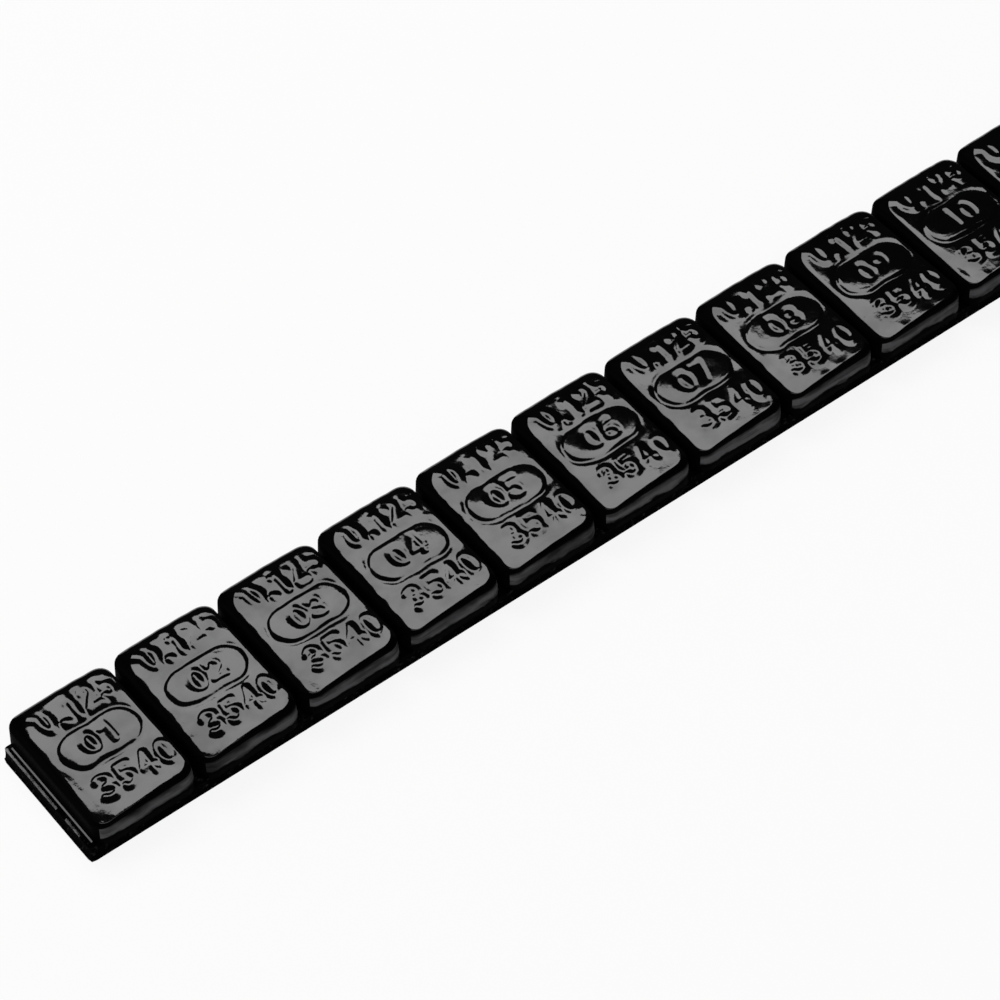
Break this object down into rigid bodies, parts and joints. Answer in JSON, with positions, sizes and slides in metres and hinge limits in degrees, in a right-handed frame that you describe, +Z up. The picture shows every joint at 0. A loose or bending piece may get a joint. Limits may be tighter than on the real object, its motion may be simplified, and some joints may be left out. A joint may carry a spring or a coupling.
{
  "type": "wheel balance weight strip",
  "caption": "Stick-on wheel balance weight strip: black coated cast segments joined by thin webs, on foam adhesive tape with a release liner.",
  "frame": {"origin": "centre of the release liner's underside, on the surface that the strip rests on", "axes": "+X along the strip, +Y across it, +Z up from the liner towards the casting's top"},
  "size_m": [0.1182, 0.0132, 0.004],
  "materials": {
    "coated_lead": "gloss",
    "foam": "matt",
    "liner": "satin"
  },
  "bodies": {
    "root": {"weight_strip": "coated_lead", "foam_tape": "foam", "release_liner": "liner"}
  },
  "joints": []
}
